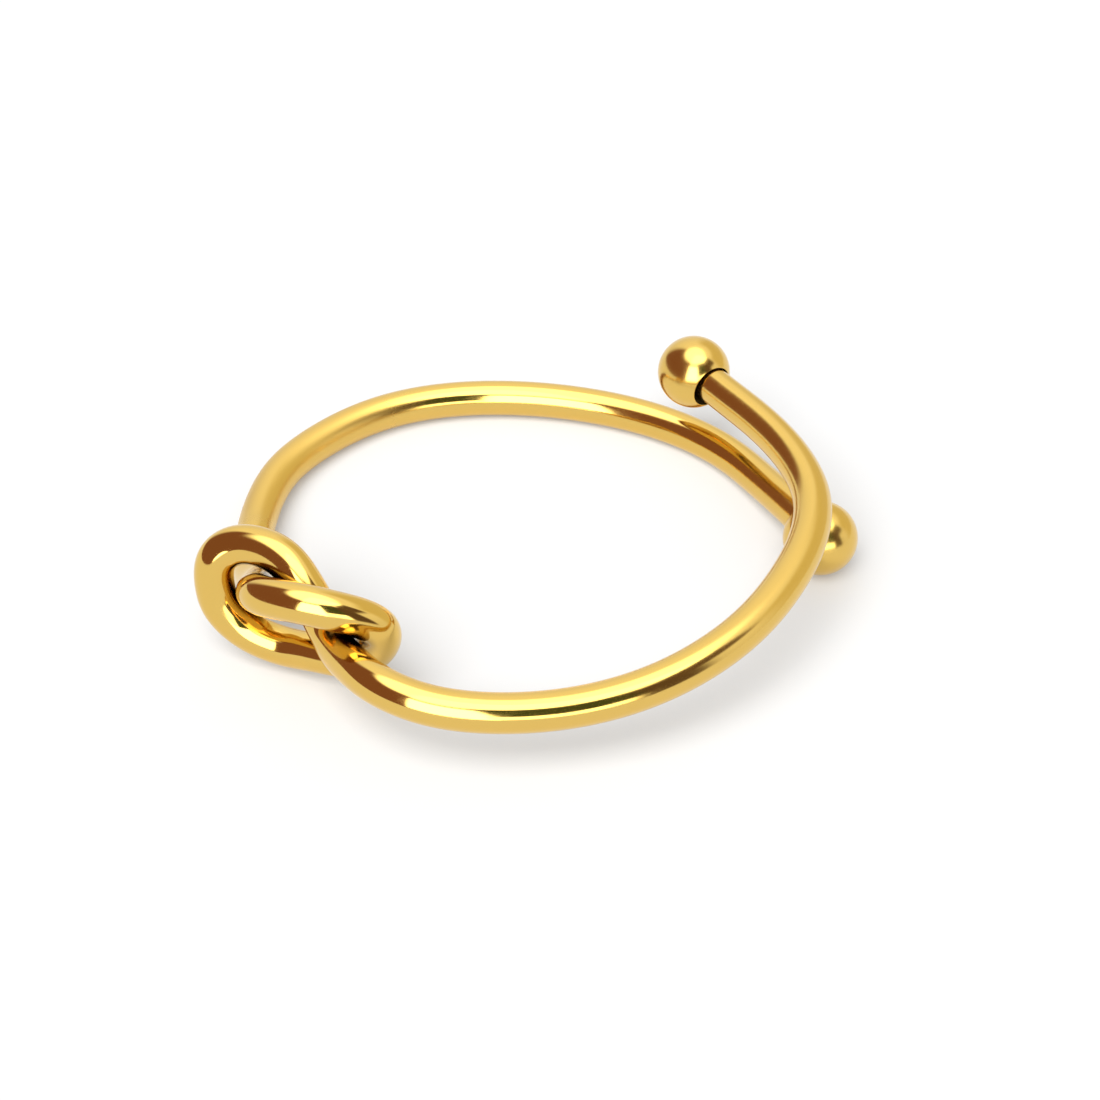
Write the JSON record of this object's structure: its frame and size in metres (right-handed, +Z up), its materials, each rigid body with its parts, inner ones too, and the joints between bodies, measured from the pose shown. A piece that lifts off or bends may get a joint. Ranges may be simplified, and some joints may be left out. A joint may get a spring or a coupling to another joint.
{
  "type": "love knot ring",
  "caption": "Finger ring of round gold wire, tied in an overhand knot, with its ball-tipped ends passing each other one above the other.",
  "frame": {"origin": "on the finger's axis, in the surface that the ring lies on", "axes": "+Z up along the finger's axis, +X to the side where the two ends pass each other, -Y to the side of the higher, front bow"},
  "size_m": [0.0213, 0.0198, 0.0048],
  "materials": {
    "wire_gold": "polished yellow gold colour",
    "bead_gold": "polished yellow gold colour"
  },
  "bodies": {
    "root": {"knotted_wire": "wire_gold", "upper_bead": "bead_gold", "lower_bead": "bead_gold"}
  },
  "joints": []
}
